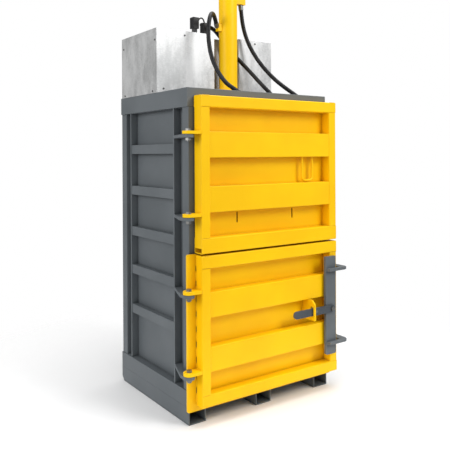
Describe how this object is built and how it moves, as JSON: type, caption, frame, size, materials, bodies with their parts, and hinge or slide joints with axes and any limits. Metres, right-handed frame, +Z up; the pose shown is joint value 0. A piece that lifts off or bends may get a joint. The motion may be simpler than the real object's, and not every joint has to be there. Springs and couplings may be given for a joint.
{
  "type": "recycling baler",
  "caption": "Upright press with a feed door above a lockable bale door, a vertical hydraulic cylinder driving a platen, a roof power unit under a sheet cover and skids with fork gaps.",
  "frame": {"origin": "on the floor at the centre of the body's footprint, on the underside of the centre skid", "axes": "+X right along the front, +Y to the back, +Z up"},
  "size_m": [1.261, 1.0448, 2.88],
  "materials": {
    "yellow": "yellow powder coat, satin",
    "grey": "grey powder coat, satin",
    "sheet": "galvanised sheet",
    "zinc": "zinc-plated hardware",
    "chrome": "hard-chromed rod",
    "rubber": "black hydraulic hose",
    "black": "black moulded coil",
    "steel": "machined steel",
    "motor": "dark painted casting"
  },
  "bodies": {
    "frame": {"cylinder_barrel": "yellow", "cylinder_end_cap": "yellow", "cylinder_ports": "yellow", "cylinder_flange": "yellow", "skid_left": "grey", "skid_centre": "grey", "skid_right": "grey", "base_beams": "grey", "floor_plate": "grey", "corner_posts": "grey", "side_skin_left": "grey", "side_skin_right": "grey", "side_uprights": "grey", "side_ribs": "grey", "rear_skin": "grey", "rear_ribs": "grey", "top_beams": "grey", "roof_plate": "grey", "roof_crossbeams": "grey", "frame_hinge_lugs": "grey", "lock_keepers": "grey", "oil_tank": "grey", "cover_left": "sheet", "cover_front": "sheet", "cover_back": "sheet", "cover_lid": "sheet", "cover_screws": "zinc", "hinge_bolts": "zinc", "flange_bolts": "zinc", "hose_fittings": "zinc", "hose_rod_side": "rubber", "hose_supply": "rubber", "hose_cap_side": "rubber", "coil_cable": "rubber", "solenoid_valves": "black", "valve_block": "steel", "hose_block": "steel", "cylinder_gland": "steel", "electric_motor": "motor", "gear_pump": "motor"},
    "upper_door": {"upper_door_frame": "yellow", "upper_door_skin": "yellow", "upper_door_ribs": "yellow", "upper_door_handle": "yellow", "upper_door_lugs": "yellow"},
    "lower_door": {"lower_door_frame": "yellow", "lower_door_plate": "yellow", "lower_door_ribs": "yellow", "lower_door_lugs": "yellow", "lever_guide": "yellow", "lock_mounts": "grey"},
    "lock_bar": {"lock_bar": "grey", "lock_hooks": "grey", "lock_lever_bolt": "zinc"},
    "lock_lever": {"lock_lever": "grey"},
    "ram": {"piston_rod": "chrome", "piston": "steel", "platen_plate": "grey", "platen_frame": "grey", "platen_shoes": "grey"}
  },
  "joints": [
    {"name": "upper_door_hinge", "type": "hinge", "parent": "frame", "child": "upper_door", "pos_m": [-0.587, -0.505, 1.5], "axis": [0, 0, 1], "range_deg": [-160, 0]},
    {"name": "lower_door_hinge", "type": "hinge", "parent": "frame", "child": "lower_door", "pos_m": [-0.587, -0.505, 0.57], "axis": [0, 0, 1], "range_deg": [-160, 0]},
    {"name": "lever_pivot", "type": "hinge", "parent": "lower_door", "child": "lock_lever", "pos_m": [0.36, -0.568, 0.559], "axis": [0, 1, 0], "range_deg": [0, 15.5]},
    {"name": "lock_bar_slide", "type": "slide", "parent": "lower_door", "child": "lock_bar", "axis": [0, 0, 1], "range_m": [-0.038, 0]},
    {"name": "ram_slide", "type": "slide", "parent": "frame", "child": "ram", "axis": [0, 0, -1], "range_m": [0, 0.78]}
  ],
  "couplings": [
    {"joint": "lock_bar_slide", "follows": "lever_pivot", "m_per_rad": -0.14}
  ]
}
